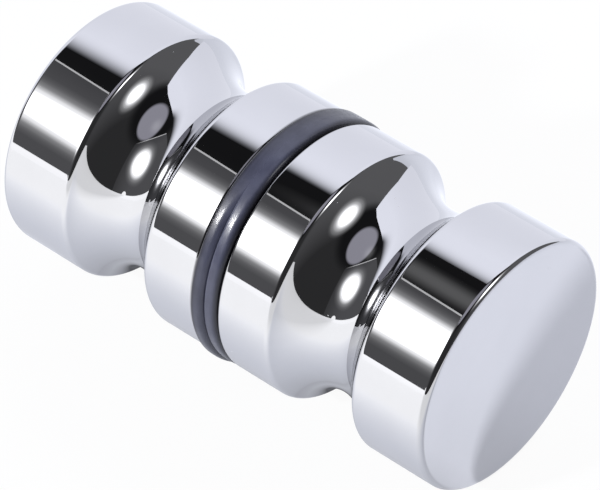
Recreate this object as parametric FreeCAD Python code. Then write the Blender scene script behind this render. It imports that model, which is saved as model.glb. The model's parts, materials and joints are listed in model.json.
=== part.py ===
import FreeCAD, Part
import math
import os

from FreeCAD import Vector

# Back-to-back knob handle for a glass shower door: two turned knobs, each with
# its own gasket, drawn together by one threaded stud through a hole in the door.
# Millimetres. The shared axis is Y, the front knob lies towards -Y, +Z is up,
# and the origin is on the axis in the plane where the two gaskets meet.

# Knob
knob_diameter = 30.0
neck_diameter = 22.8
base_length = 7.1
waist_length = 11.9
head_length = 9.45
rim_round = 0.7
base_round = 0.4

# Gasket
gasket_thickness = 1.75
gasket_overhang = 0.4
gasket_knob_round = 0.9
gasket_seam_round = 0.3

# Threaded stud and the tapped holes that take it
stud_diameter = 6.0
thread_engagement = 10.0
stud_chamfer = 0.6
hex_key_width = 3.0
hex_socket_depth = 3.5
thread_clearance = 0.1
tap_spare_depth = 2.0
tap_mouth_chamfer = 0.5
drill_point_angle = 118.0

# Sleeve that keeps the stud off the glass
sleeve_diameter = 10.0
sleeve_seat_depth = 1.2
sleeve_chamfer = 0.4
sleeve_clearance = 0.15
sleeve_end_clearance = 0.2

# Places along the axis, measured outwards from the clamp plane
base_face = gasket_thickness
waist_start = base_face + base_length
waist_end = waist_start + waist_length
end_face = waist_end + head_length
seat_floor = base_face + sleeve_seat_depth
stud_end = base_face + thread_engagement
tap_end = stud_end + tap_spare_depth
sleeve_end = seat_floor - sleeve_end_clearance

# Radii
knob_radius = knob_diameter / 2
neck_radius = neck_diameter / 2
gasket_radius = knob_radius + gasket_overhang
stud_radius = stud_diameter / 2
tap_radius = stud_radius + thread_clearance
sleeve_radius = sleeve_diameter / 2
sleeve_bore_radius = stud_radius + sleeve_clearance
sleeve_seat_radius = sleeve_radius + sleeve_clearance

axis_origin = Vector(0, 0, 0)
axis_direction = Vector(0, 1, 0)


def at(radius, along):
    """Point of a half section: distance from the axis, distance along it."""
    return Vector(radius, along, 0)


def straight_edges(points):
    """Edges that join the points in order."""
    return [Part.LineSegment(start, end).toShape() for start, end in zip(points, points[1:])]


def turned(edges):
    """Solid made by turning a closed half section about the axis."""
    section = Part.Face(Part.Wire(edges))
    return section.revolve(axis_origin, axis_direction, 360)


def rims(solid, radius, along):
    """Circular edges of a turned solid with this radius at this place along the axis."""
    found = []
    for edge in solid.Edges:
        if not isinstance(edge.Curve, Part.Circle):
            continue
        same_radius = abs(edge.Curve.Radius - radius) < 1e-6
        same_place = abs(edge.Curve.Center.y - along) < 1e-6
        if same_radius and same_place:
            found.append(edge)
    return found


def facing_front(solid):
    """The same solid turned end for end, on the front side of the clamp plane."""
    other = solid.copy()
    other.rotate(axis_origin, Vector(0, 0, 1), 180)
    return other


def make_knob():
    """Two drums with a concave waist between them, and a blind tapped hole in the base."""
    drill_tip = tap_end + tap_radius / math.tan(math.radians(drill_point_angle / 2))
    waist_middle = (waist_start + waist_end) / 2
    base_drum = straight_edges([
        at(sleeve_seat_radius, base_face),
        at(knob_radius, base_face),
        at(knob_radius, waist_start),
    ])
    waist = Part.Arc(
        at(knob_radius, waist_start),
        at(neck_radius, waist_middle),
        at(knob_radius, waist_end),
    ).toShape()
    head_drum = straight_edges([
        at(knob_radius, waist_end),
        at(knob_radius, end_face),
        at(0, end_face),
    ])
    tapped_hole = straight_edges([
        at(0, end_face),
        at(0, drill_tip),
        at(tap_radius, tap_end),
        at(tap_radius, seat_floor + tap_mouth_chamfer),
        at(tap_radius + tap_mouth_chamfer, seat_floor),
        at(sleeve_seat_radius, seat_floor),
        at(sleeve_seat_radius, base_face),
    ])
    knob = turned(base_drum + [waist] + head_drum + tapped_hole)
    rounded_rims = [
        edge
        for along in (waist_start, waist_end, end_face)
        for edge in rims(knob, knob_radius, along)
    ]
    knob = knob.makeFillet(rim_round, rounded_rims)
    return knob.makeFillet(base_round, rims(knob, knob_radius, base_face))


def make_gasket():
    """Soft washer that stands just past the knob, well rounded beside it and less so at the glass."""
    gasket = turned(straight_edges([
        at(sleeve_seat_radius, 0),
        at(gasket_radius, 0),
        at(gasket_radius, gasket_thickness),
        at(sleeve_seat_radius, gasket_thickness),
        at(sleeve_seat_radius, 0),
    ]))
    gasket = gasket.makeFillet(gasket_knob_round, rims(gasket, gasket_radius, gasket_thickness))
    return gasket.makeFillet(gasket_seam_round, rims(gasket, gasket_radius, 0))


def make_stud():
    """Double-ended stud, chamfered at both ends, with a hexagon socket in the rear end."""
    stud = turned(straight_edges([
        at(0, -stud_end),
        at(stud_radius - stud_chamfer, -stud_end),
        at(stud_radius, stud_chamfer - stud_end),
        at(stud_radius, stud_end - stud_chamfer),
        at(stud_radius - stud_chamfer, stud_end),
        at(0, stud_end),
        at(0, -stud_end),
    ]))
    corner_radius = hex_key_width / math.sqrt(3)
    corners = []
    for corner in range(7):
        angle = math.radians(60 * corner)
        corners.append(Vector(
            corner_radius * math.cos(angle),
            stud_end - hex_socket_depth,
            corner_radius * math.sin(angle),
        ))
    hexagon = Part.Face(Part.makePolygon(corners))
    return stud.cut(hexagon.extrude(axis_direction * hex_socket_depth))


def make_sleeve():
    """Plain bush round the stud, seated in the bases of both knobs, with bevelled ends."""
    outer_bevel = sleeve_radius - sleeve_chamfer
    bevel_start = sleeve_end - sleeve_chamfer
    return turned(straight_edges([
        at(sleeve_bore_radius, -sleeve_end),
        at(outer_bevel, -sleeve_end),
        at(sleeve_radius, -bevel_start),
        at(sleeve_radius, bevel_start),
        at(outer_bevel, sleeve_end),
        at(sleeve_bore_radius, sleeve_end),
        at(sleeve_bore_radius, -sleeve_end),
    ]))


rear_knob = make_knob()
rear_gasket = make_gasket()
pieces = {
    "front_knob": facing_front(rear_knob),
    "rear_knob": rear_knob,
    "front_gasket": facing_front(rear_gasket),
    "rear_gasket": rear_gasket,
    "stud": make_stud(),
    "sleeve": make_sleeve(),
}

os.makedirs("parts", exist_ok=True)
for name, solid in pieces.items():
    solid.exportStep("parts/" + name + ".step")
    print(name, "valid" if solid.isValid() else "NOT VALID", round(solid.Volume, 1), "mm3")
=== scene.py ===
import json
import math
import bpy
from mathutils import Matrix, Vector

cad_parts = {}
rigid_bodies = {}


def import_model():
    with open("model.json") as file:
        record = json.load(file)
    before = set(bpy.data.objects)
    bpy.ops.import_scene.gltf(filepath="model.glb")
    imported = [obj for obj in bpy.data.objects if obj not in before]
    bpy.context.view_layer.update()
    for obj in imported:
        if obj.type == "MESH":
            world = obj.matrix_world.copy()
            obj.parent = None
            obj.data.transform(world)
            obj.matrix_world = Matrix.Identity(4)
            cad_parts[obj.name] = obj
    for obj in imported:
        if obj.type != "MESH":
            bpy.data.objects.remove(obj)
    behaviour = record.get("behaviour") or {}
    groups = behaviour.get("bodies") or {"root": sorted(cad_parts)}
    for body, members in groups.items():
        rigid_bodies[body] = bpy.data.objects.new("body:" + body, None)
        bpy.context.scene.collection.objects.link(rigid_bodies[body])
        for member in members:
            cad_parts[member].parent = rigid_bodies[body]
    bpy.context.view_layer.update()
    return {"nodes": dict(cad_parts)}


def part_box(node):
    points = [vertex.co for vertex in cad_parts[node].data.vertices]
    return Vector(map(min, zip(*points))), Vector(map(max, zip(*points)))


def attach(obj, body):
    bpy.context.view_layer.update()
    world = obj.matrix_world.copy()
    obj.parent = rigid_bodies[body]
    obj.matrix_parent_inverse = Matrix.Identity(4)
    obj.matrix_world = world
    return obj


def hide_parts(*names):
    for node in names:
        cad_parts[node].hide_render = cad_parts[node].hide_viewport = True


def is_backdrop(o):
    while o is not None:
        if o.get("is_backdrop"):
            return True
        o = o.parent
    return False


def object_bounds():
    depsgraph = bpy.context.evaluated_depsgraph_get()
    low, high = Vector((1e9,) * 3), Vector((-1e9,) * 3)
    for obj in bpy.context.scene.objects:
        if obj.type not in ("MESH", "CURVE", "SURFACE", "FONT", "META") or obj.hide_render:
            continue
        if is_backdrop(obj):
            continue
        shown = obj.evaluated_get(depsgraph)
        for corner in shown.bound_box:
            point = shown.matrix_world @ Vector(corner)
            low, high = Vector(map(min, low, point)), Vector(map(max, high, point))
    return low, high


bl_info = {
    "name": "Shower Door Handle",
    "version": (1, 0, 0),
    "blender": (4, 5, 0),
    "location": "3D View > Sidebar > Door Handle",
    "description": "Models a back-to-back knob handle for a glass shower door and a small stage for it",
    "category": "Add Mesh",
}

import bmesh
import bpy
from bpy.props import FloatProperty, FloatVectorProperty, IntProperty, PointerProperty
from mathutils import Matrix, Vector

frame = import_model()

# Everything is in metres. The knobs share the Y axis, the front knob lies towards -Y,
# and distances along the axis are measured outwards from the clamp plane at Y = 0.
MM = 0.001
AXIS = Vector((0, 1, 0))
ORIGIN = Vector((0, 0, 0))
BODY = "root"
WHITE = (1.0, 1.0, 1.0)

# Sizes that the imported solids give
KNOB_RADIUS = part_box("rear_knob")[1].x
KNOB_BASE_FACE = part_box("rear_knob")[0].y
KNOB_END_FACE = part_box("rear_knob")[1].y
GASKET_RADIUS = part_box("rear_gasket")[1].x
GASKET_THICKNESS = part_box("rear_gasket")[1].y
STUD_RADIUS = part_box("stud")[1].x
STUD_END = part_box("stud")[1].y
SLEEVE_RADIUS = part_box("sleeve")[1].x
SLEEVE_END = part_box("sleeve")[1].y


# Settings


def length(name, description, default):
    """A size in metres that shows in the sidebar."""
    return FloatProperty(
        name=name, description=description, default=default, subtype="DISTANCE", precision=5
    )


def angle(name, description, degrees):
    """An angle that shows in the sidebar in degrees."""
    turn = math.radians(degrees)
    return FloatProperty(name=name, description=description, default=turn, subtype="ANGLE")


def colour(name, description, default):
    """A linear colour that shows in the sidebar."""
    return FloatVectorProperty(
        name=name, description=description, default=default, subtype="COLOR", size=3, min=0, max=1
    )


def power(name, description, default):
    """The power of a light in watts."""
    return FloatProperty(
        name=name, description=description, default=default, subtype="POWER", unit="POWER"
    )


def share(name, description, default):
    """A plain number from 0 to 1."""
    return FloatProperty(name=name, description=description, default=default, min=0, max=1, precision=4)


def brightness(name, description, default):
    """The strength of a glow; 1 is the white of the picture."""
    return FloatProperty(name=name, description=description, default=default, min=0, precision=3)


class KnobSettings(bpy.types.PropertyGroup):
    """Sizes and finish of the two turned knobs"""

    base_length: length("Base length", "Length of the drum beside the glass", 7.1 * MM)
    waist_length: length("Waist length", "Length of the concave waist", 11.9 * MM)
    neck_diameter: length("Neck diameter", "Thinnest place of the waist", 22.8 * MM)
    rim_round: length("Rim round", "Radius of the outer end and of both edges of the waist", 0.7 * MM)
    base_round: length("Base round", "Radius of the edge that meets the gasket", 0.4 * MM)
    thread_clearance: length("Thread clearance", "Room between the stud and its tapped hole", 0.1 * MM)
    tap_spare_depth: length("Spare depth", "Tapped hole past the end of the stud", 2.0 * MM)
    tap_mouth_chamfer: length("Mouth chamfer", "Countersink at the mouth of the tapped hole", 0.5 * MM)
    seat_clearance: length("Seat clearance", "Room round the sleeve in its seat", 0.15 * MM)
    seat_end_clearance: length("Seat end clearance", "Room past the end of the sleeve", 0.2 * MM)
    drill_angle: angle("Drill point", "Angle of the drill point at the end of the tapped hole", 118)
    segments: IntProperty(name="Segments", description="Steps round the axis", default=256, min=32)
    chrome: colour("Chrome", "Colour of the plating", (0.554, 0.556, 0.573))
    chrome_shade: colour("Chrome shade", "Slightly duller patches of the plating", (0.531, 0.533, 0.55))
    # Painted shade: near-black plating on the edge beside the gasket, where shade falls between the parts
    painted_shade: colour("Painted shade", "Colour of the edge beside the gasket", (0.092, 0.092, 0.1))
    painted_shade_full: length("Full grime", "How far up that edge the grime is full", 0.15 * MM)
    dust: colour("Dust", "Colour of the dust specks on the plating", (0.46, 0.46, 0.48))


class GasketSettings(bpy.types.PropertyGroup):
    """Sizes and finish of the two rubber gaskets"""

    wide_round: length("Wide round", "Radius of the rim towards the front knob", 0.9 * MM)
    tight_round: length("Tight round", "Radius of the rim towards the rear knob", 0.3 * MM)
    bore_clearance: length("Bore clearance", "Room between the gasket and the sleeve", 0.15 * MM)
    settling: length("Settling", "How far the front gasket has slid behind its knob", 0.36 * MM)
    settled_side: angle("Settled side", "Where the seam stands open, turned left from the top", 127)
    tuck: length("Tuck", "How far both gaskets lie back on the opposite side", 0.19 * MM)
    seam_fill: share("Seam fill", "How far the squeezed rubber closes the seam", 0.99)
    segments: IntProperty(name="Segments", description="Steps round the axis", default=192, min=32)
    rubber: colour("Rubber", "Colour of the rubber", (0.0223, 0.0239, 0.0393))
    rubber_light: colour("Light rubber", "Paler patches of the rubber", (0.033, 0.0354, 0.0554))
    # Painted shade: the rear gasket is mixed darker towards the back, as the side more in shade
    rear_painted_shade: share("Rear shade", "How much darker the rear gasket is", 0.3)
    # Painted shade: the rubber is mixed near-black at the rims beside the knobs, where shade falls between
    # the parts
    painted_shade: colour("Painted shade", "Colour of the rims beside the knobs", (0.007, 0.007, 0.01))
    painted_shade_reach: length("Grime reach", "How far out from the knobs the grime comes", 0.65 * MM)
    painted_shade_full: length("Full grime", "How far out from the knobs it is full", 0.1 * MM)
    lint: colour("Lint", "Colour of the flecks on the rubber", (0.48, 0.48, 0.51))


class StudSettings(bpy.types.PropertyGroup):
    """Sizes and finish of the threaded stud"""

    pitch: length("Pitch", "Distance from one thread to the next", 1.0 * MM)
    thread_depth: length("Thread depth", "Height of the thread", 0.61 * MM)
    chamfer: length("Chamfer", "Bevel of both ends", 0.6 * MM)
    key_width: length("Key width", "Hexagon socket, flat to flat", 3.0 * MM)
    socket_depth: length("Socket depth", "Depth of the hexagon socket", 3.5 * MM)
    segments: IntProperty(name="Segments", description="Steps in a turn of the thread", default=64, min=16)
    zinc: colour("Zinc", "Colour of the zinc plating", (0.62, 0.63, 0.65))
    zinc_dull: colour("Dull zinc", "Duller patches of the plating", (0.47, 0.48, 0.49))


class SleeveSettings(bpy.types.PropertyGroup):
    """Finish of the nylon sleeve"""

    nylon: colour("Nylon", "Colour of the nylon", (0.84, 0.83, 0.77))
    nylon_shade: colour("Nylon shade", "Yellower patches of the nylon", (0.76, 0.74, 0.66))


class StageSettings(bpy.types.PropertyGroup):
    """Camera, floor and studio light"""

    camera_azimuth: angle("Camera azimuth", "Direction of the camera round the object", -48.9)
    camera_elevation: angle("Camera elevation", "Height of the camera above the horizon", 42.8)
    camera_distance: length("Camera distance", "From the camera to the clamp plane", 446.1 * MM)
    camera_right: length("Camera right", "How far the camera stands to the right of the origin", 0.41 * MM)
    camera_up: length("Camera up", "How far the camera stands above the line to the origin", -0.53 * MM)
    lens: FloatProperty(name="Lens", description="Focal length", default=244.8, unit="CAMERA")
    floor_size: length("Floor size", "Width of the floor", 1.1)
    floor: colour("Floor", "Colour of the floor", (0.775, 0.79, 0.85))
    floor_white: share("Floor white", "How far the floor shows as plain white to the camera", 0.9615)
    white_glow: brightness("White glow", "Brightness of that white", 0.988)
    floor_front: share("Floor front", "How far the floor in front shows as a glow in metal", 0.25)
    floor_sides: share("Floor sides", "How far the floor at both sides shows as a glow in metal", 0.88)
    floor_tint: colour("Floor tint", "Tint of that glow near the object", (0.885, 0.91, 1.0))
    left_glow: brightness("Left glow", "Glow of the floor at the left", 1.625)
    contact_glow: brightness("Contact glow", "Glow close to the object", 0.546)
    contact_shade: share("Contact shade", "How much darker metal shows the floor under the object", 0.88)
    right_glow: brightness("Right glow", "Glow of the floor at the right", 1.313)
    right_fall: brightness("Right fall", "The same, further away", 1.144)
    board: colour("Board", "Colour of the white board beside the object", (0.9, 0.915, 1.0))
    board_glow: brightness("Board glow", "Brightness of the white board", 1.365)
    panel: colour("Panel", "Colour of the grey panel overhead", (0.416, 0.408, 0.472))
    wall: colour("Wall", "Colour of the grey wall at the side lamp", (0.086, 0.086, 0.091))
    edge_glow: brightness("Edge glow", "Brightness of the wall's upper edge", 0.78)
    room_dark: colour("Dark room", "Darkest part of the room", (0.039, 0.039, 0.04))
    room_grey: colour("Grey room", "Palest part of the room", (0.156, 0.156, 0.161))
    room_top: colour("Room top", "The room above the walls", (0.012, 0.012, 0.013))
    lamp_glow: brightness("Lamp glow", "Brightness of both lamps in metal", 5.2)
    haze_glow: brightness("Haze glow", "Brightness of the faint card overhead in metal", 0.156)
    foot_glow: brightness("Foot glow", "Brightness of the lamp's foot", 1.56)
    key_power: power("Key light", "Light from the left, which draws the shadow", 5.2)
    fill_power: power("Fill light", "Light from the right", 0.39)
    gloss_power: power("Gloss light", "Light that draws the highlight on the rubber", 3.77)


class HandleSettings(bpy.types.PropertyGroup):
    """All settings of the handle and its stage"""

    knob: PointerProperty(type=KnobSettings)
    gasket: PointerProperty(type=GasketSettings)
    stud: PointerProperty(type=StudSettings)
    sleeve: PointerProperty(type=SleeveSettings)
    stage: PointerProperty(type=StageSettings)


# Directions and distances


def towards(azimuth, elevation):
    """Unit vector from the origin; azimuth 0 is the front, positive to the right."""
    flat = math.cos(elevation)
    return Vector((math.sin(azimuth) * flat, -math.cos(azimuth) * flat, math.sin(elevation)))


def spot(azimuth, elevation, distance):
    """Place round the origin, by angles in degrees and a distance."""
    return towards(math.radians(azimuth), math.radians(elevation)) * distance


def radii(*counts):
    """Distances given in knob radii."""
    return [count * KNOB_RADIUS for count in counts]


# Turning: half sections drawn by a pen and spun about the axis


class SectionPen:
    """Draws a half section in a bmesh, with X as the radius and Y along the axis."""

    def __init__(self, radius, along):
        self.mesh = bmesh.new()
        self.tip = self.mesh.verts.new((radius, along, 0))

    def line(self, radius, along):
        """Straight edge to a point."""
        made = bmesh.ops.extrude_vert_indiv(self.mesh, verts=[self.tip])
        self.tip = made["verts"][0]
        self.tip.co = (radius, along, 0)

    def arc(self, centre_radius, centre_along, turn, steps):
        """Arc about a centre, by an angle that is positive from +X towards +Y."""
        made = bmesh.ops.spin(
            self.mesh,
            geom=[self.tip],
            cent=(centre_radius, centre_along, 0),
            axis=(0, 0, 1),
            dvec=(0, 0, 0),
            angle=turn,
            steps=steps,
        )
        self.tip = next(part for part in made["geom_last"] if isinstance(part, bmesh.types.BMVert))

    def turned(self, segments):
        """The section spun into a closed shell about the axis."""
        bmesh.ops.spin(
            self.mesh,
            geom=self.mesh.verts[:] + self.mesh.edges[:],
            cent=ORIGIN,
            axis=AXIS,
            dvec=(0, 0, 0),
            angle=math.tau,
            steps=segments,
            use_merge=True,
        )
        close_shell(self.mesh)
        return self.mesh


def close_shell(mesh):
    """Merge doubled points, drop spent faces and point all faces outwards."""
    doubled = 0.0001 * MM
    bmesh.ops.remove_doubles(mesh, verts=mesh.verts[:], dist=doubled)
    bmesh.ops.dissolve_degenerate(mesh, edges=mesh.edges[:], dist=doubled)
    bmesh.ops.recalc_face_normals(mesh, faces=mesh.faces[:])


def face_front(mesh):
    """Turn a piece end for end, to the front side of the clamp plane."""
    bmesh.ops.rotate(mesh, cent=ORIGIN, matrix=Matrix.Rotation(math.pi, 3, "Z"), verts=mesh.verts[:])


def add_object(name, mesh, material):
    """New object at the origin from a bmesh, smooth all over."""
    data = bpy.data.meshes.new(name)
    mesh.to_mesh(data)
    mesh.free()
    data.polygons.foreach_set("use_smooth", [True] * len(data.polygons))
    data.materials.append(material)
    piece = bpy.data.objects.new(name, data)
    bpy.context.scene.collection.objects.link(piece)
    return piece


def add_piece(name, mesh, material, node):
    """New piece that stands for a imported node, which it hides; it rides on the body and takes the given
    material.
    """
    piece = add_object(name, mesh, material)
    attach(piece, BODY)
    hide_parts(node)
    return piece


# Node wiring, for materials, shared groups and the world


class Wiring:
    """Adds nodes to a tree. A value may be a number, a colour or another node's output."""

    def __init__(self, tree):
        self.tree = tree

    def node(self, kind, **options):
        """New shader node with some of its options set."""
        made = self.tree.nodes.new("ShaderNode" + kind)
        for option, choice in options.items():
            setattr(made, option, choice)
        return made

    def give(self, socket, value):
        """Link an output to a socket, or set a plain number or colour on it."""
        if isinstance(value, bpy.types.NodeSocket):
            self.tree.links.new(value, socket)
        elif socket.type == "RGBA":
            socket.default_value = (*value, 1)
        else:
            socket.default_value = value

    def object_place(self):
        """Object coordinates."""
        return self.node("TexCoord").outputs["Object"]

    def calculate(self, operation, *values):
        """Result of one operation on one or two values."""
        node = self.node("Math", operation=operation)
        for socket, value in zip(node.inputs, values):
            self.give(socket, value)
        return node.outputs["Value"]

    def ramp(self, measure, span=(0, 1), levels=(0, 1), shape="LINEAR"):
        """Value that goes from one level to another over a span of a measure."""
        node = self.node("MapRange", interpolation_type=shape)
        labels = ("Value", "From Min", "From Max", "To Min", "To Max")
        for label, value in zip(labels, (measure, *span, *levels)):
            self.give(node.inputs[label], value)
        return node.outputs["Result"]

    def mix(self, first, second, factor):
        """Colour between two colours. The colour sockets follow those for numbers and vectors."""
        node = self.node("Mix", data_type="RGBA")
        self.give(node.inputs["Factor"], factor)
        self.give(node.inputs[6], first)
        self.give(node.inputs[7], second)
        return node.outputs[2]

    def split(self, vector):
        """The X, Y and Z of a vector."""
        node = self.node("SeparateXYZ")
        self.give(node.inputs["Vector"], vector)
        return node.outputs

    def along(self, vector, direction):
        """How far a vector reaches along a direction."""
        node = self.node("VectorMath", operation="DOT_PRODUCT")
        self.give(node.inputs[0], vector)
        self.give(node.inputs[1], direction)
        return node.outputs["Value"]


def new_group(name, inputs, output):
    """Empty shader group with float inputs (a vector where the default is None) and one output."""
    group = bpy.data.node_groups.new(name, "ShaderNodeTree")
    for label, default in inputs.items():
        kind = "NodeSocketVector" if default is None else "NodeSocketFloat"
        socket = group.interface.new_socket(name=label, in_out="INPUT", socket_type=kind)
        if default is not None:
            socket.default_value = default
    group.interface.new_socket(name=output, in_out="OUTPUT", socket_type="NodeSocketFloat")
    entry = group.nodes.new("NodeGroupInput")
    leave = group.nodes.new("NodeGroupOutput")
    return group, entry.outputs, leave.inputs[output]


def mottle_group():
    """Soft cloudy variation between a low and a high value."""
    name = "surface_mottle"
    if name in bpy.data.node_groups:
        return bpy.data.node_groups[name]
    inputs = {"Vector": None, "Scale": 100.0, "Detail": 3.0, "Low": 0.0, "High": 1.0}
    group, given, result = new_group(name, inputs, "Value")
    wiring = Wiring(group)
    noise = wiring.node("TexNoise")
    for label in ("Vector", "Scale", "Detail"):
        wiring.give(noise.inputs[label], given[label])
    wiring.give(result, wiring.ramp(noise.outputs["Fac"], (0.3, 0.7), (given["Low"], given["High"])))
    return group


def fleck_group():
    """Mask of small scattered flecks, thinned out by a cloudy cover."""
    name = "scattered_flecks"
    if name in bpy.data.node_groups:
        return bpy.data.node_groups[name]
    inputs = {"Vector": None, "Scale": 1000.0, "Size": 0.12, "Cover": 0.6}
    group, given, result = new_group(name, inputs, "Mask")
    wiring = Wiring(group)
    cloud_scale = 260.0
    cells = wiring.node("TexVoronoi")
    wiring.give(cells.inputs["Vector"], given["Vector"])
    wiring.give(cells.inputs["Scale"], given["Scale"])
    cloud = wiring.node("TexNoise")
    wiring.give(cloud.inputs["Vector"], given["Vector"])
    wiring.give(cloud.inputs["Scale"], cloud_scale)
    near = wiring.calculate("LESS_THAN", cells.outputs["Distance"], given["Size"])
    covered = wiring.calculate("GREATER_THAN", cloud.outputs["Fac"], given["Cover"])
    wiring.give(result, wiring.calculate("MULTIPLY", near, covered))
    return group


# Materials


class Finish(Wiring):
    """A material under construction: one Principled shader fed by object coordinates."""

    def __init__(self, name):
        self.material = bpy.data.materials.new(name)
        self.material.use_nodes = True
        super().__init__(self.material.node_tree)
        self.shader = self.tree.nodes["Principled BSDF"]
        self.place = self.object_place()

    def set(self, **values):
        """Values for the shader's own sockets; underscores stand for spaces."""
        for label, value in values.items():
            self.give(self.shader.inputs[label.replace("_", " ")], value)

    def group(self, group, **values):
        """Place a shared group on object coordinates with its own values."""
        node = self.node("Group", node_tree=group)
        self.give(node.inputs["Vector"], self.place)
        for label, value in values.items():
            self.give(node.inputs[label], value)
        return node.outputs[0]

    def mottle(self, **values):
        """Cloudy value from the shared group."""
        return self.group(mottle_group(), **values)

    def flecks(self, **values):
        """Mask of flecks from the shared group."""
        return self.group(fleck_group(), **values)

    def distance(self, axis):
        """Distance from the origin along an axis, to either side."""
        return self.calculate("ABSOLUTE", self.split(self.place)[axis])

    def towards(self, azimuth):
        """Distance from the origin along a level direction in degrees."""
        return self.along(self.place, spot(azimuth, 0, 1))

    def bump(self, height, strength, distance):
        """Fine relief from a height output."""
        node = self.node("Bump")
        self.give(node.inputs["Strength"], strength)
        self.give(node.inputs["Distance"], distance)
        self.give(node.inputs["Height"], height)
        self.set(Normal=node.outputs["Normal"])


def polished_chrome(knob):
    """Mirror plating with faint haze, specks of dust, buffing waves and painted shade on the edge beside
    the gasket.
    """
    finish = Finish("polished_chrome")
    patches = finish.mottle(Scale=110.0, Detail=4.0)
    specks = finish.flecks(Scale=640.0, Size=0.04, Cover=0.62)
    # Painted shade: the plating turns near-black on the edge beside the gasket, where shade falls between
    # the parts
    beside_gasket = (KNOB_BASE_FACE + knob.painted_shade_full, KNOB_BASE_FACE + knob.base_round)
    unshaded = finish.ramp(finish.distance("Y"), beside_gasket)
    plating = finish.mix(knob.chrome, knob.chrome_shade, patches)
    plating = finish.mix(knob.painted_shade, plating, unshaded)
    finish.set(
        Base_Color=finish.mix(plating, knob.dust, specks),
        Metallic=finish.ramp(specks, levels=(1, 0)),
        Roughness=finish.mottle(Scale=240.0, Detail=5.0, Low=0.012, High=0.034),
    )
    finish.bump(finish.mottle(Scale=300.0, Detail=1.0), strength=0.12, distance=0.002 * MM)
    return finish.material


def satin_rubber(gasket):
    """Dark blue-grey rubber with a satin skin, cloudy bloom, a little lint, and painted shade beside the
    knobs and at the rear.
    """
    finish = Finish("satin_rubber")
    bloom = finish.mottle(Scale=420.0, Detail=6.0)
    flecks = finish.flecks(Scale=1500.0, Size=0.16, Cover=0.66)
    # Painted shade: the rear gasket darkens towards the back
    shade = finish.ramp(finish.towards(180), (0, GASKET_THICKNESS / 2), (0, gasket.rear_painted_shade))
    beside_knob = (GASKET_THICKNESS - gasket.painted_shade_reach, GASKET_THICKNESS - gasket.painted_shade_full)
    body = finish.mix(gasket.rubber, gasket.rubber_light, bloom)
    body = finish.mix(body, gasket.painted_shade, shade)
    # Painted shade at the rims beside the knobs
    body = finish.mix(body, gasket.painted_shade, finish.ramp(finish.distance("Y"), beside_knob))
    finish.set(
        Base_Color=finish.mix(body, gasket.lint, flecks),
        Roughness=finish.mottle(Scale=900.0, Detail=6.0, Low=0.36, High=0.5),
        Specular_IOR_Level=0.155,
        Coat_Weight=0.385,
        Coat_Roughness=0.14,
    )
    finish.bump(finish.mottle(Scale=2600.0, Detail=4.0), strength=0.25, distance=0.02 * MM)
    return finish.material


def plated_steel(stud):
    """Zinc-plated thread with dull patches and fine rolling marks."""
    finish = Finish("zinc_plated_steel")
    patches = finish.mottle(Scale=500.0, Detail=6.0)
    finish.set(
        Base_Color=finish.mix(stud.zinc, stud.zinc_dull, patches),
        Metallic=1.0,
        Roughness=finish.mottle(Scale=1400.0, Detail=6.0, Low=0.22, High=0.4),
    )
    finish.bump(finish.mottle(Scale=5000.0, Detail=2.0), strength=0.2, distance=0.01 * MM)
    return finish.material


def natural_nylon(sleeve):
    """Off-white moulded nylon with a matte, slightly uneven skin."""
    finish = Finish("natural_nylon")
    patches = finish.mottle(Scale=380.0, Detail=5.0)
    flecks = finish.flecks(Scale=2200.0, Size=0.1, Cover=0.62)
    body = finish.mix(sleeve.nylon, sleeve.nylon_shade, patches)
    finish.set(
        Base_Color=finish.mix(body, sleeve.nylon_shade, flecks),
        Roughness=finish.mottle(Scale=1600.0, Detail=4.0, Low=0.42, High=0.58),
    )
    finish.bump(finish.mottle(Scale=3600.0, Detail=3.0), strength=0.2, distance=0.01 * MM)
    return finish.material


# Pieces


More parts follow.
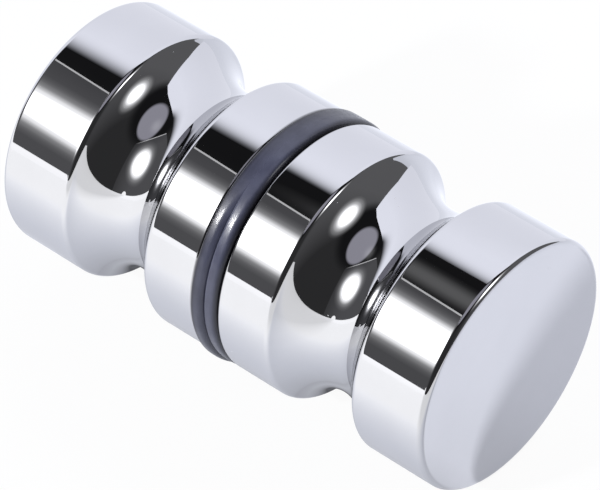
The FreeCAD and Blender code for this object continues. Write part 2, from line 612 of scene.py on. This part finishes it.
def knob_mesh(knob):
    """Rear knob: flat end, head drum, concave waist, base drum, then the hole from its mouth inwards."""
    radius = KNOB_RADIUS
    rim = knob.rim_round
    base_round = knob.base_round
    waist_start = KNOB_BASE_FACE + knob.base_length
    waist_middle = waist_start + knob.waist_length / 2
    neck_depth = radius - knob.neck_diameter / 2
    cove = ((knob.waist_length / 2) ** 2 + neck_depth ** 2) / (2 * neck_depth)
    cove_centre = knob.neck_diameter / 2 + cove
    rim_centre = radius - rim
    rim_offset = math.sqrt((cove + rim) ** 2 - (cove_centre - rim_centre) ** 2)
    cove_half = math.atan2(rim_offset, cove_centre - rim_centre)
    seat_radius = SLEEVE_RADIUS + knob.seat_clearance
    seat_floor = SLEEVE_END + knob.seat_end_clearance
    tap_radius = STUD_RADIUS + knob.thread_clearance
    tap_end = STUD_END + knob.tap_spare_depth
    drill_tip = tap_end + tap_radius / math.tan(knob.drill_angle / 2)

    # A ring this close to each round keeps its shading off the flat beside it
    hold = 0.05 * MM
    rim_steps = 14
    edge_steps = 12
    cove_steps = 72
    base_steps = 8

    pen = SectionPen(0, KNOB_END_FACE)
    pen.line(radius / 2, KNOB_END_FACE)
    pen.line(rim_centre - hold, KNOB_END_FACE)
    pen.line(rim_centre, KNOB_END_FACE)
    pen.arc(rim_centre, KNOB_END_FACE - rim, -math.pi / 2, rim_steps)
    pen.line(radius, KNOB_END_FACE - rim - hold)
    pen.line(radius, waist_middle + rim_offset + hold)
    pen.line(radius, waist_middle + rim_offset)
    pen.arc(rim_centre, waist_middle + rim_offset, -cove_half, edge_steps)
    pen.arc(cove_centre, waist_middle, 2 * cove_half, cove_steps)
    pen.arc(rim_centre, waist_middle - rim_offset, -cove_half, edge_steps)
    pen.line(radius, waist_middle - rim_offset - hold)
    pen.line(radius, KNOB_BASE_FACE + base_round + hold)
    pen.line(radius, KNOB_BASE_FACE + base_round)
    pen.arc(radius - base_round, KNOB_BASE_FACE + base_round, -math.pi / 2, base_steps)
    pen.line(radius - base_round - hold, KNOB_BASE_FACE)
    pen.line(seat_radius, KNOB_BASE_FACE)
    pen.line(seat_radius, seat_floor)
    pen.line(tap_radius + knob.tap_mouth_chamfer, seat_floor)
    pen.line(tap_radius, seat_floor + knob.tap_mouth_chamfer)
    pen.line(tap_radius, tap_end)
    pen.line(0, drill_tip)
    return pen.turned(knob.segments)


def gasket_mesh(gasket, seam, rim, settled_side, settling):
    """Rear gasket: a soft washer with a round at its seam and one at its rim beside the knob.
    The seam is squeezed shut, apart from the side where the gasket has settled."""
    bore = SLEEVE_RADIUS + gasket.bore_clearance
    outer = GASKET_RADIUS
    seam_steps = 8
    rim_steps = 12
    pen = SectionPen(bore, 0)
    pen.line(outer - seam, 0)
    pen.arc(outer - seam, seam, math.pi / 2, seam_steps)
    pen.line(outer, GASKET_THICKNESS - rim)
    pen.arc(outer - rim, GASKET_THICKNESS - rim, math.pi / 2, rim_steps)
    pen.line(bore, GASKET_THICKNESS)
    pen.line(bore, 0)
    mesh = pen.turned(gasket.segments)

    # The lean is 1 on the settled side and -1 opposite. From one lean on, the seam opens over a span.
    opening = -0.2
    opening_span = 0.55
    low_side = Vector((-math.sin(settled_side), 0, math.cos(settled_side)))
    tolerance = 0.01 * MM
    seam_round_start = outer - seam - tolerance
    for vert in mesh.verts:
        reach = Vector((vert.co.x, 0, vert.co.z))
        outwards = reach.normalized()
        lean = outwards.dot(low_side)
        if vert.co.y < seam and reach.length > seam_round_start:
            open_share = min(1.0, max(0.0, (lean - opening) / opening_span))
            open_share *= open_share * (3 - 2 * open_share)
            vert.co += outwards * (outer - reach.length) * gasket.seam_fill * (1 - open_share)
        slid = max(0.0, (reach.length - bore) / (outer - bore))
        vert.co -= outwards * slid * (settling * max(0.0, lean) ** 2 + gasket.tuck * max(0.0, -lean) ** 2)
    return mesh


def stud_mesh(stud):
    """Stud with a rolled thread all along it, bevelled ends and a hexagon socket in the rear end."""
    root = STUD_RADIUS - stud.thread_depth
    turns = math.ceil(2 * STUD_END / stud.pitch) + 3
    start = -STUD_END - 2 * stud.pitch

    # Corners of one thread, as shares of the pitch
    root_end = 0.25
    crest_start = 0.5625
    crest_end = 0.6875
    pen = SectionPen(root, start)
    for turn in range(turns):
        foot = start + turn * stud.pitch
        pen.line(root, foot + stud.pitch * root_end)
        pen.line(STUD_RADIUS, foot + stud.pitch * crest_start)
        pen.line(STUD_RADIUS, foot + stud.pitch * crest_end)
        pen.line(root, foot + stud.pitch)
    mesh = pen.mesh
    bmesh.ops.spin(
        mesh,
        geom=mesh.verts[:] + mesh.edges[:],
        cent=ORIGIN,
        axis=AXIS,
        dvec=AXIS * (stud.pitch / stud.segments),
        angle=math.tau,
        steps=stud.segments,
    )
    close_shell(mesh)
    for side in (-1, 1):
        bmesh.ops.bisect_plane(
            mesh,
            geom=mesh.verts[:] + mesh.edges[:] + mesh.faces[:],
            plane_co=AXIS * side * STUD_END,
            plane_no=AXIS * side,
            clear_outer=True,
        )
    for vert in mesh.verts:
        reach = math.hypot(vert.co.x, vert.co.z)
        limit = STUD_RADIUS - stud.chamfer + (STUD_END - abs(vert.co.y))
        if reach > limit:
            vert.co.x *= limit / reach
            vert.co.z *= limit / reach
    front_rim = [edge for edge in mesh.edges if edge.is_boundary and edge.verts[0].co.y < 0]
    rear_rim = [edge for edge in mesh.edges if edge.is_boundary and edge.verts[0].co.y > 0]
    bmesh.ops.contextual_create(mesh, geom=front_rim)
    stand = Matrix.Translation(AXIS * STUD_END) @ Matrix.Rotation(math.pi / 2, 4, "X")
    made = bmesh.ops.create_circle(
        mesh, cap_ends=False, segments=6, radius=stud.key_width / math.sqrt(3), matrix=stand
    )
    mouth = list({edge for vert in made["verts"] for edge in vert.link_edges})
    bmesh.ops.bridge_loops(mesh, edges=rear_rim + mouth)
    walls = bmesh.ops.extrude_edge_only(mesh, edges=mouth)["geom"]
    floor = [part for part in walls if isinstance(part, bmesh.types.BMVert)]
    bmesh.ops.translate(mesh, vec=-AXIS * stud.socket_depth, verts=floor)
    bmesh.ops.contextual_create(mesh, geom=floor)
    close_shell(mesh)
    return mesh


class DOOR_HANDLE_OT_knobs(bpy.types.Operator):
    """Turn the chrome knobs, one for each side of the glass"""

    bl_idname = "door_handle.knobs"
    bl_label = "Knobs"

    def execute(self, context):
        knob = context.scene.door_handle.knob
        chrome = polished_chrome(knob)
        for side in ("front", "rear"):
            mesh = knob_mesh(knob)
            if side == "front":
                face_front(mesh)
            add_piece(side + "_chrome_knob", mesh, chrome, side + "_knob")
        return {"FINISHED"}


class DOOR_HANDLE_OT_gaskets(bpy.types.Operator):
    """Make the rubber gaskets that press on the glass"""

    bl_idname = "door_handle.gaskets"
    bl_label = "Gaskets"

    def execute(self, context):
        gasket = context.scene.door_handle.gasket
        rubber = satin_rubber(gasket)
        wide, tight = gasket.wide_round, gasket.tight_round
        rear = gasket_mesh(gasket, wide, tight, gasket.settled_side, 0)
        front = gasket_mesh(gasket, tight, wide, -gasket.settled_side, gasket.settling)
        face_front(front)
        add_piece("rear_rubber_gasket", rear, rubber, "rear_gasket")
        add_piece("front_rubber_gasket", front, rubber, "front_gasket")
        return {"FINISHED"}


class DOOR_HANDLE_OT_stud(bpy.types.Operator):
    """Cut the threaded stud that draws the knobs together"""

    bl_idname = "door_handle.stud"
    bl_label = "Stud"

    def execute(self, context):
        stud = context.scene.door_handle.stud
        piece = add_piece("threaded_stud", stud_mesh(stud), plated_steel(stud), "stud")
        piece.data.polygons.foreach_set("use_smooth", [False] * len(piece.data.polygons))
        return {"FINISHED"}


class DOOR_HANDLE_OT_sleeve(bpy.types.Operator):
    """Give the sleeve its nylon"""

    bl_idname = "door_handle.sleeve"
    bl_label = "Sleeve"

    def execute(self, context):
        nylon = natural_nylon(context.scene.door_handle.sleeve)
        solid = frame["nodes"]["sleeve"]
        solid.data.materials.clear()
        solid.data.materials.append(nylon)
        return {"FINISHED"}


# Stage: glowing boards and lamps that the metal mirrors


class Glow(Wiring):
    """Material of a lit surface under construction."""

    def __init__(self, name, tint, strength):
        self.material = bpy.data.materials.new(name)
        self.material.use_nodes = True
        super().__init__(self.material.node_tree)
        self.tree.nodes.clear()
        self.strength = strength
        self.lit = self.node("Emission")
        self.give(self.lit.inputs["Color"], tint)
        self.give(self.lit.inputs["Strength"], strength)
        self.surface = self.node("OutputMaterial").inputs["Surface"]
        self.give(self.surface, self.lit.outputs["Emission"])

    def scale(self, factor):
        """Multiply the strength by an output."""
        self.strength = self.calculate("MULTIPLY", factor, self.strength)
        self.give(self.lit.inputs["Strength"], self.strength)

    def across(self, span):
        """Share of a span across a board."""
        return self.ramp(self.split(self.object_place())["X"], span)

    def radius(self):
        """Distance from the middle of a lamp, 1 at its edge."""
        node = self.node("VectorMath", operation="LENGTH")
        self.give(node.inputs[0], self.object_place())
        return node.outputs["Value"]

    def grade(self, measure, levels):
        """Follow a measure from 0 to 1, by levels at places along it."""
        curve = self.node("ValToRGB")
        curve.color_ramp.interpolation = "CARDINAL"
        stops = curve.color_ramp.elements
        while len(stops) < len(levels):
            stops.new(0.5)
        for stop, (position, level) in zip(stops, levels):
            stop.position = position
            stop.color = (level, level, level, 1)
        self.give(curve.inputs["Fac"], measure)
        self.scale(curve.outputs["Color"])

    def see_through(self):
        """Lie over what is behind, so that the edge melts away."""
        clear = self.node("BsdfTransparent")
        both = self.node("AddShader")
        self.give(both.inputs[0], self.lit.outputs["Emission"])
        self.give(both.inputs[1], clear.outputs["BSDF"])
        self.give(self.surface, both.outputs["Shader"])

    def mirrored_only(self):
        """Show in metal and gloss without lighting the stage."""
        self.scale(self.node("LightPath").outputs["Is Glossy Ray"])
        self.material.cycles.emission_sampling = "NONE"
        self.see_through()


def add_stage(name, mesh, glow, matrix):
    """Stage object that lights and mirrors in the handle but never stands before the camera."""
    thing = add_object(name, mesh, glow.material)
    thing.matrix_world = matrix
    thing.visible_camera = False
    thing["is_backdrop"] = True


def add_lamp(name, place, facing, half_width, half_height, glow):
    """Oval diffuser; its object coordinates run from 0 at its middle to 1 at its edge."""
    mesh = bmesh.new()
    bmesh.ops.create_circle(mesh, cap_ends=True, segments=64, radius=1.0)
    turn = facing.to_track_quat("Z", "Y").to_matrix().to_4x4()
    size = Matrix.Diagonal((half_width, half_height, 1, 1))
    add_stage(name, mesh, glow, Matrix.Translation(place) @ turn @ size)


def add_board(name, azimuth, distance, outline, glow):
    """Upright board that faces the axis; outline runs across and upwards from its nearest point."""
    mesh = bmesh.new()
    corners = [mesh.verts.new((across, -distance, height)) for across, height in outline]
    bmesh.ops.contextual_create(mesh, geom=corners)
    add_stage(name, mesh, glow, Matrix.Rotation(math.radians(azimuth), 4, "Z"))


def add_white_board(stage, floor_height):
    """Large bent board at the right, which darkens towards its far top corner."""
    far_end = 1.4
    outline = [
        (-0.16, floor_height),
        (-0.162, 0.075),
        (-0.24, 0.42),
        (-0.165, 0.51),
        (-0.1, 0.525),
        (0.0, 0.525),
        (0.15, 0.491),
        (far_end, 0.497),
        (far_end, floor_height),
    ]
    brightest_height = 0.22
    dark_height = 0.5
    fade_across = (0.05, 0.2)
    low_and_high_levels = (0.93, 1.07)
    board = Glow("white_board", stage.board, stage.board_glow)
    place = board.split(board.object_place())
    rise = board.ramp(place["Z"], (0, brightest_height), low_and_high_levels)
    far = board.ramp(place["X"], fade_across, shape="SMOOTHSTEP")
    high = board.ramp(place["Z"], (brightest_height, dark_height), shape="SMOOTHSTEP")
    board.scale(board.ramp(board.calculate("MULTIPLY", far, high), levels=(rise, 0)))
    add_board("white_board", azimuth=115, distance=0.16, outline=outline, glow=board)


def add_grey_wall(stage, floor_height):
    """Grey wall behind the side lamp with a bright strip on top, both fading towards one end."""
    left = -0.15
    right = 0.158
    strip_low = 0.303
    strip_high = 0.315
    parts = (
        ("grey_wall", stage.wall, 1.0, floor_height, strip_low, ((0, 0.9), (0.6, 1), (1, 0.35))),
        ("wall_edge", WHITE, stage.edge_glow, strip_low, strip_high, ((0, 1), (0.6, 1), (1, 0))),
    )
    for name, tint, strength, low, high, levels in parts:
        part = Glow(name, tint, strength)
        part.grade(part.across((left, right)), levels)
        part.see_through()
        outline = [(left, low), (right, low), (right, high), (left, high)]
        add_board(name, azimuth=-128.4, distance=0.19, outline=outline, glow=part)


def add_lamp_foot(stage, floor_height):
    """Small bright half oval on the floor at the left, the foot of the side lamp."""
    half_width = 0.03
    height = 0.034
    steps = 12
    turns = [math.pi * step / steps for step in range(steps + 1)]
    outline = [(half_width * math.cos(turn), floor_height + height * math.sin(turn)) for turn in turns]
    foot = Glow("lamp_foot", WHITE, stage.foot_glow)
    add_board("lamp_foot", azimuth=-108, distance=0.45, outline=outline, glow=foot)


# Places of the lamps and lights
SIDE_LAMP = spot(-120.5, 32.4, 0.566)
FRONT_LAMP = spot(9.5, 44.1, 0.1695)
HAZE_CARD = Vector((-0.032, 0.042, 0.145))
TOP_PANEL = Vector((-0.105, 0.015, 0.5))
KEY_LIGHT = spot(-104.7, 31, 0.6)
FILL_LIGHT = spot(70, 50, 0.25)

# Brightness of the lamps from their middle to their edge
PANEL_LEVELS = ((0, 1), (0.7, 1.02), (0.86, 0.88), (1, 0))
SIDE_LEVELS = ((0, 1), (0.38, 1), (0.48, 0.4), (0.57, 0.22), (0.66, 0.08), (0.78, 0.025), (1, 0))
FRONT_LEVELS = ((0, 1), (0.3, 1), (0.42, 0.45), (0.54, 0.2), (0.68, 0.08), (0.84, 0.025), (1, 0))
HAZE_LEVELS = ((0, 1), (0.3, 0.8), (0.65, 0.25), (1, 0))


def add_lamps(stage):
    """Grey panel overhead, and two lamps and a faint card that only metal and gloss show."""
    panel = Glow("top_panel", stage.panel, 1.0)
    panel.grade(panel.radius(), PANEL_LEVELS)
    panel.see_through()
    add_lamp("top_panel", TOP_PANEL, Vector((0, 0, -1)), half_width=0.226, half_height=0.198, glow=panel)
    lamps = (
        ("side_lamp", SIDE_LAMP, 0.264, 0.264, stage.lamp_glow, SIDE_LEVELS),
        ("front_lamp", FRONT_LAMP, 0.061, 0.054, stage.lamp_glow, FRONT_LEVELS),
        ("haze_card", HAZE_CARD, 0.032, 0.032, stage.haze_glow, HAZE_LEVELS),
    )
    for name, place, half_width, half_height, strength, levels in lamps:
        lamp = Glow(name, WHITE, strength)
        lamp.grade(lamp.radius(), levels)
        lamp.mirrored_only()
        add_lamp(name, place, -place, half_width, half_height, lamp)


# Stage: floor, room, lights and camera


def floor_material(stage):
    """Pale matte floor. The camera sees it as nearly plain white with a soft shadow, and metal sees
    it glow at both sides of the handle and darken under it."""
    finish = Finish("pale_floor")
    dulling = 0.98
    duller = [dulling * part for part in stage.floor]
    finish.set(
        Base_Color=finish.mix(stage.floor, duller, finish.mottle(Scale=3.0, Detail=2.0)),
        Roughness=finish.mottle(Scale=40.0, Detail=3.0, Low=0.42, High=0.48),
    )
    rays = finish.node("LightPath").outputs
    camera = rays["Is Camera Ray"]
    mirror = finish.calculate("MAXIMUM", rays["Is Glossy Ray"], rays["Is Transmission Ray"])
    leftwards = finish.towards(-90)
    rightwards = finish.towards(124)
    forwards = finish.towards(-25)

    # How far the glow covers the floor, and the strip of shade under the handle
    covers = (stage.floor_front, stage.floor_sides)
    left_cover = finish.ramp(leftwards, radii(0.33, 0.85), covers)
    right_cover = finish.ramp(rightwards, radii(0.8, 1.7), covers)
    beneath = finish.ramp(finish.distance("X"), radii(0.28, 0.62), (1, 0))
    last_part = (KNOB_END_FACE - 4 * MM, KNOB_END_FACE)
    between_ends = finish.ramp(finish.distance("Y"), last_part, (1, 0))
    shade = finish.calculate("MULTIPLY", beneath, between_ends)
    cover = finish.calculate("MAXIMUM", left_cover, right_cover)
    cover = finish.calculate("MAXIMUM", cover, shade)

    # How bright the glow is
    swell = finish.calculate("POWER", finish.ramp(leftwards, radii(0.6, 2.6)), 0.5)
    left_level = finish.ramp(swell, levels=(stage.contact_glow, stage.left_glow))
    pool = finish.ramp(forwards, radii(2.0, 4.0), (1, 0.72))
    left_level = finish.calculate("MULTIPLY", left_level, pool)
    right_level = finish.ramp(rightwards, radii(1.6, 6.0), (stage.right_glow, stage.right_fall))
    level = finish.ramp(leftwards, radii(0.2, 0.6), (right_level, left_level))
    level = finish.calculate("MULTIPLY", level, finish.ramp(shade, levels=(1, 1 - stage.contact_shade)))
    untinted = finish.calculate("MAXIMUM", camera, finish.ramp(leftwards, radii(1.1, 3.0)))

    white = finish.node("Emission")
    finish.give(white.inputs["Color"], finish.mix(stage.floor_tint, WHITE, untinted))
    finish.give(white.inputs["Strength"], finish.ramp(camera, levels=(level, stage.white_glow)))
    seen = finish.calculate("MULTIPLY", camera, stage.floor_white)
    mirrored = finish.calculate("MULTIPLY", mirror, cover)
    blend = finish.node("MixShader")
    finish.give(blend.inputs["Fac"], finish.calculate("ADD", seen, mirrored))
    finish.give(blend.inputs[1], finish.shader.outputs["BSDF"])
    finish.give(blend.inputs[2], white.outputs["Emission"])
    finish.give(finish.tree.nodes["Material Output"].inputs["Surface"], blend.outputs["Shader"])
    return finish.material


def add_floor(stage, height):
    """Level floor under the handle."""
    mesh = bmesh.new()
    bmesh.ops.create_grid(mesh, x_segments=1, y_segments=1, size=stage.floor_size / 2)
    bmesh.ops.translate(mesh, vec=(0, 0, height), verts=mesh.verts[:])
    floor = add_object("floor", mesh, floor_material(stage))
    floor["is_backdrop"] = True


def dark_room(stage):
    """World: plain white to the camera, and for light and mirrors a dim room, palest at the right."""
    world = bpy.data.worlds.new("studio_room")
    world.use_nodes = True
    sky = Wiring(world.node_tree)
    way = sky.node("TexCoord").outputs["Generated"]
    palest = spot(65, 0, 1)
    wall_top = math.sin(math.radians(44))
    ceiling = math.sin(math.radians(59))
    pale = sky.ramp(sky.along(way, palest), (0.05, 0.8))
    walls = sky.mix(stage.room_dark, stage.room_grey, pale)
    above = sky.ramp(sky.split(way)["Z"], (wall_top, ceiling), shape="SMOOTHSTEP")
    room = sky.tree.nodes["Background"]
    sky.give(room.inputs["Color"], sky.mix(walls, stage.room_top, above))
    white = sky.node("Background")
    sky.give(white.inputs["Color"], WHITE)
    blend = sky.node("MixShader")
    sky.give(blend.inputs["Fac"], sky.node("LightPath").outputs["Is Camera Ray"])
    sky.give(blend.inputs[1], room.outputs["Background"])
    sky.give(blend.inputs[2], white.outputs["Background"])
    sky.give(sky.tree.nodes["World Output"].inputs["Surface"], blend.outputs["Shader"])
    return world


def add_light(name, place, size, watts):
    """Soft round light aimed at the handle; the metal mirrors the lamps and boards in its stead."""
    data = bpy.data.lights.new(name, "AREA")
    data.shape = "DISK"
    data.size = size
    data.energy = watts
    light = bpy.data.objects.new(name, data)
    aim = (-place).to_track_quat("-Z", "Y").to_matrix().to_4x4()
    light.matrix_world = Matrix.Translation(place) @ aim
    light.visible_glossy = False
    light.visible_camera = False
    bpy.context.scene.collection.objects.link(light)
    return light


def add_lights(stage):
    """Key and fill light, and a light at the side lamp that reaches and shows on the rubber only."""
    add_light("key_light", KEY_LIGHT, size=0.05, watts=stage.key_power)
    add_light("fill_light", FILL_LIGHT, size=0.09, watts=stage.fill_power)
    gloss = add_light("gloss_light", SIDE_LAMP, size=0.1, watts=stage.gloss_power)
    gloss.visible_glossy = True
    rubber = bpy.data.collections.new("rubber_pieces")
    for piece in bpy.context.scene.objects:
        if "rubber" in piece.name:
            rubber.objects.link(piece)
    gloss.light_linking.receiver_collection = rubber


def add_camera(stage):
    """Camera at the photograph's angle."""
    data = bpy.data.cameras.new("photo_camera")
    data.lens = stage.lens
    data.sensor_width = 36.0
    data.clip_start = 0.01
    data.clip_end = 20.0
    camera = bpy.data.objects.new("photo_camera", data)
    back = towards(stage.camera_azimuth, stage.camera_elevation)
    turn = (-back).to_track_quat("-Z", "Y")
    shift = turn @ Vector((stage.camera_right, stage.camera_up, 0))
    place = back * stage.camera_distance + shift
    camera.matrix_world = Matrix.Translation(place) @ turn.to_matrix().to_4x4()
    bpy.context.scene.collection.objects.link(camera)
    return camera


class DOOR_HANDLE_OT_stage(bpy.types.Operator):
    """Set the floor, the boards and lamps round the handle, the lights and the camera"""

    bl_idname = "door_handle.stage"
    bl_label = "Stage"

    def execute(self, context):
        stage = context.scene.door_handle.stage
        floor_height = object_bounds()[0].z
        add_floor(stage, floor_height)
        add_white_board(stage, floor_height)
        add_grey_wall(stage, floor_height)
        add_lamps(stage)
        add_lamp_foot(stage, floor_height)
        add_lights(stage)
        context.scene.world = dark_room(stage)
        context.scene.camera = add_camera(stage)
        context.scene.view_settings.view_transform = "Standard"
        return {"FINISHED"}


STEPS = (
    DOOR_HANDLE_OT_knobs,
    DOOR_HANDLE_OT_gaskets,
    DOOR_HANDLE_OT_stud,
    DOOR_HANDLE_OT_sleeve,
    DOOR_HANDLE_OT_stage,
)


class DOOR_HANDLE_PT_panel(bpy.types.Panel):
    """Sidebar list of the steps that make the handle"""

    bl_idname = "DOOR_HANDLE_PT_panel"
    bl_label = "Door Handle"
    bl_space_type = "VIEW_3D"
    bl_region_type = "UI"
    bl_category = "Door Handle"

    def draw(self, context):
        for step in STEPS:
            self.layout.operator(step.bl_idname)


CLASSES = (
    KnobSettings,
    GasketSettings,
    StudSettings,
    SleeveSettings,
    StageSettings,
    HandleSettings,
    *STEPS,
    DOOR_HANDLE_PT_panel,
)


def register():
    for cls in CLASSES:
        bpy.utils.register_class(cls)
    bpy.types.Scene.door_handle = PointerProperty(type=HandleSettings)


def unregister():
    del bpy.types.Scene.door_handle
    for cls in reversed(CLASSES):
        bpy.utils.unregister_class(cls)


def main():
    """Make the pieces and the stage."""
    register()
    bpy.ops.door_handle.knobs()
    bpy.ops.door_handle.gaskets()
    bpy.ops.door_handle.stud()
    bpy.ops.door_handle.sleeve()
    bpy.ops.door_handle.stage()


if __name__ == "__main__":
    main()
